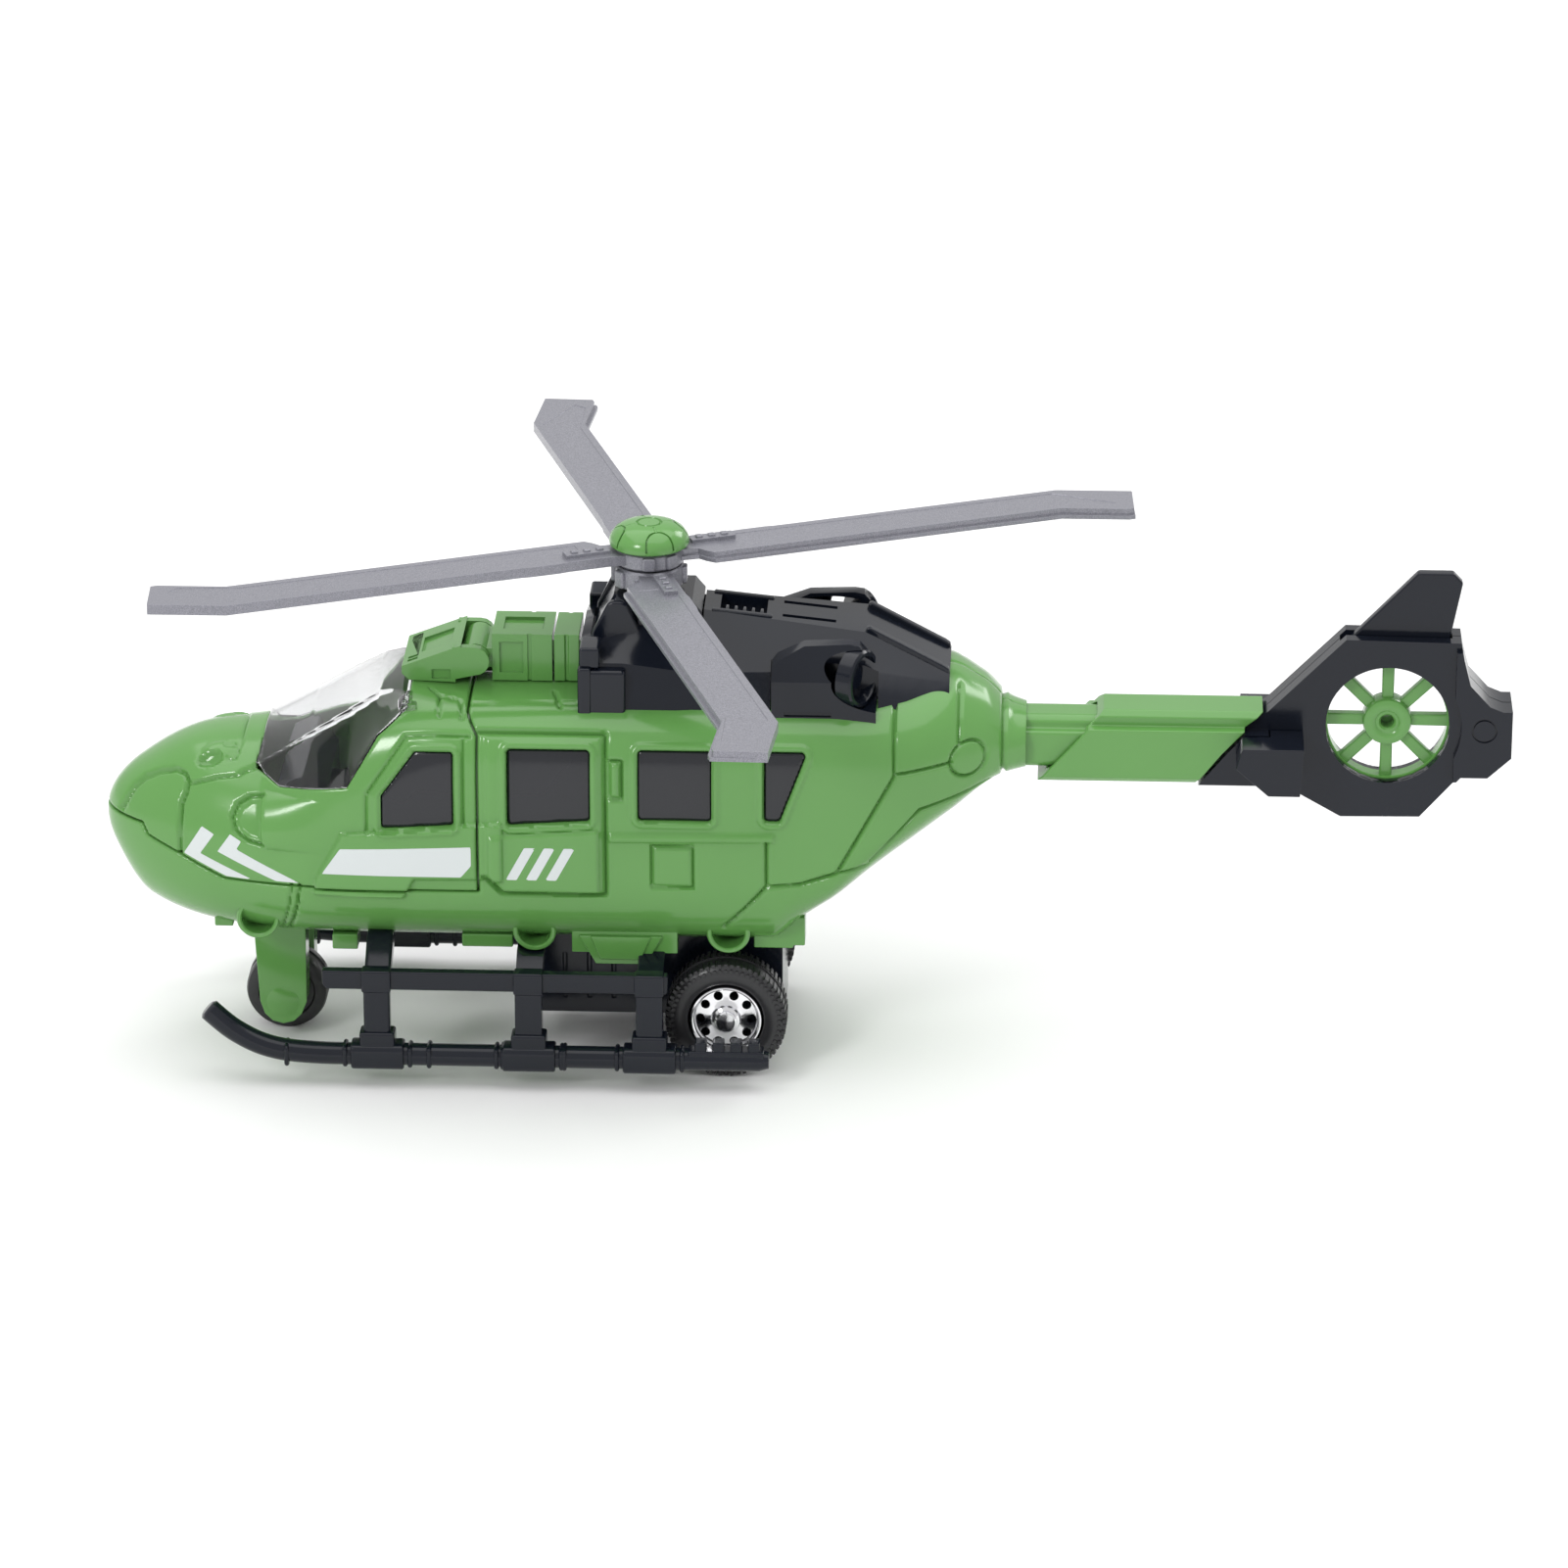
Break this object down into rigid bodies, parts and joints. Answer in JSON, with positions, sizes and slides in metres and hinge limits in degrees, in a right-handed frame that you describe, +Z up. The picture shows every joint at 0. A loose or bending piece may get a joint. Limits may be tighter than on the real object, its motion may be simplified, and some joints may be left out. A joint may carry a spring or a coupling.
{
  "type": "toy helicopter",
  "caption": "Green and black plastic push-along helicopter with fold-together rotor blades, ducted tail fan, lifting cockpit, skids, nose wheel and friction-drive rear wheels.",
  "frame": {"origin": "on the ground under the wheels, midway between the nose tip and the end of the tail, in the plane of symmetry", "axes": "+X from the nose to the tail, +Y to the helicopter's right-hand side, +Z up"},
  "size_m": [0.2862, 0.2002, 0.1116],
  "materials": {
    "green_plastic": "glossy moulded green plastic",
    "black_plastic": "glossy moulded blue-black plastic",
    "silver_plastic": "silver-grey plastic with metal flake",
    "clear_window": "clear moulded plastic window",
    "tinted_window": "dark smoked plastic window",
    "chrome_rim": "vacuum-plated plastic",
    "wheel_black": "soft black wheel plastic, satin",
    "steel": "plain steel",
    "white_plastic": "natural gear nylon"
  },
  "bodies": {
    "airframe": {"hull_left": "green_plastic", "hull_right": "green_plastic", "cabin_windows_left": "tinted_window", "cabin_windows_right": "tinted_window", "hull_screw_front": "steel", "hull_screw_middle": "steel", "hull_screw_rear": "steel", "roof_link_front": "green_plastic", "roof_link_rear": "green_plastic", "cockpit_hinge_pin": "steel", "engine_cowl": "black_plastic", "engine_pod_left": "black_plastic", "engine_pod_right": "black_plastic", "exhaust_left": "black_plastic", "exhaust_right": "black_plastic", "mast_support": "black_plastic", "tail_boom": "green_plastic", "tail_sleeve": "green_plastic", "tail_shroud_left": "black_plastic", "tail_shroud_right": "black_plastic", "tail_fin": "black_plastic", "stabilizer_left": "black_plastic", "stabilizer_right": "black_plastic", "skid_left": "black_plastic", "skid_right": "black_plastic", "nose_leg_left": "green_plastic", "nose_leg_right": "green_plastic", "nose_axle": "steel", "gearbox_left": "black_plastic", "gearbox_right": "black_plastic", "idler_pin": "steel"},
    "cockpit": {"cockpit_shell": "green_plastic", "windshield": "clear_window", "door_window_left": "tinted_window", "door_window_right": "tinted_window", "cockpit_interior": "black_plastic", "roof_intake": "green_plastic"},
    "rotor": {"rotor_shaft": "steel", "upper_blades": "silver_plastic", "rotor_cap": "green_plastic", "rotor_screw": "steel"},
    "lower_rotor": {"lower_blades": "silver_plastic"},
    "tail_rotor": {"tail_fan": "green_plastic"},
    "front_wheel": {"nose_wheel": "wheel_black"},
    "rear_wheels": {"rear_axle": "steel", "rear_rim_left": "chrome_rim", "rear_rim_right": "chrome_rim", "rear_tyre_left": "wheel_black", "rear_tyre_right": "wheel_black", "axle_gear": "white_plastic"},
    "idler": {"idler_gear": "white_plastic"},
    "flywheel_drive": {"flywheel": "steel"}
  },
  "joints": [
    {"name": "cockpit_hinge", "type": "hinge", "parent": "airframe", "child": "cockpit", "pos_m": [-0.0665, 0, 0.084], "axis": [0, 1, 0], "range_deg": [0, 30]},
    {"name": "main_rotor_spin", "type": "hinge", "parent": "airframe", "child": "rotor", "pos_m": [-0.0315, 0, 0.105], "axis": [0, 0, 1], "continuous": true},
    {"name": "lower_blades_fold", "type": "hinge", "parent": "rotor", "child": "lower_rotor", "pos_m": [-0.0315, 0, 0.1005], "axis": [0, 0, 1], "range_deg": [-85, 0]},
    {"name": "tail_fan_spin", "type": "hinge", "parent": "airframe", "child": "tail_rotor", "pos_m": [0.118, 0, 0.0716], "axis": [0, 1, 0], "continuous": true},
    {"name": "nose_wheel_spin", "type": "hinge", "parent": "airframe", "child": "front_wheel", "pos_m": [-0.107, 0, 0.0084], "axis": [0, 1, 0], "continuous": true},
    {"name": "rear_axle_spin", "type": "hinge", "parent": "airframe", "child": "rear_wheels", "pos_m": [-0.0151, 0, 0.0125], "axis": [0, 1, 0], "continuous": true},
    {"name": "idler_spin", "type": "hinge", "parent": "airframe", "child": "idler", "pos_m": [-0.0231, 0, 0.0157], "axis": [0, 1, 0], "continuous": true},
    {"name": "flywheel_spin", "type": "hinge", "parent": "airframe", "child": "flywheel_drive", "pos_m": [-0.0315, 0, 0.0173], "axis": [0, 1, 0], "continuous": true}
  ],
  "couplings": [
    {"joint": "idler_spin", "follows": "rear_axle_spin", "ratio": -2},
    {"joint": "flywheel_spin", "follows": "rear_axle_spin", "ratio": 4}
  ]
}
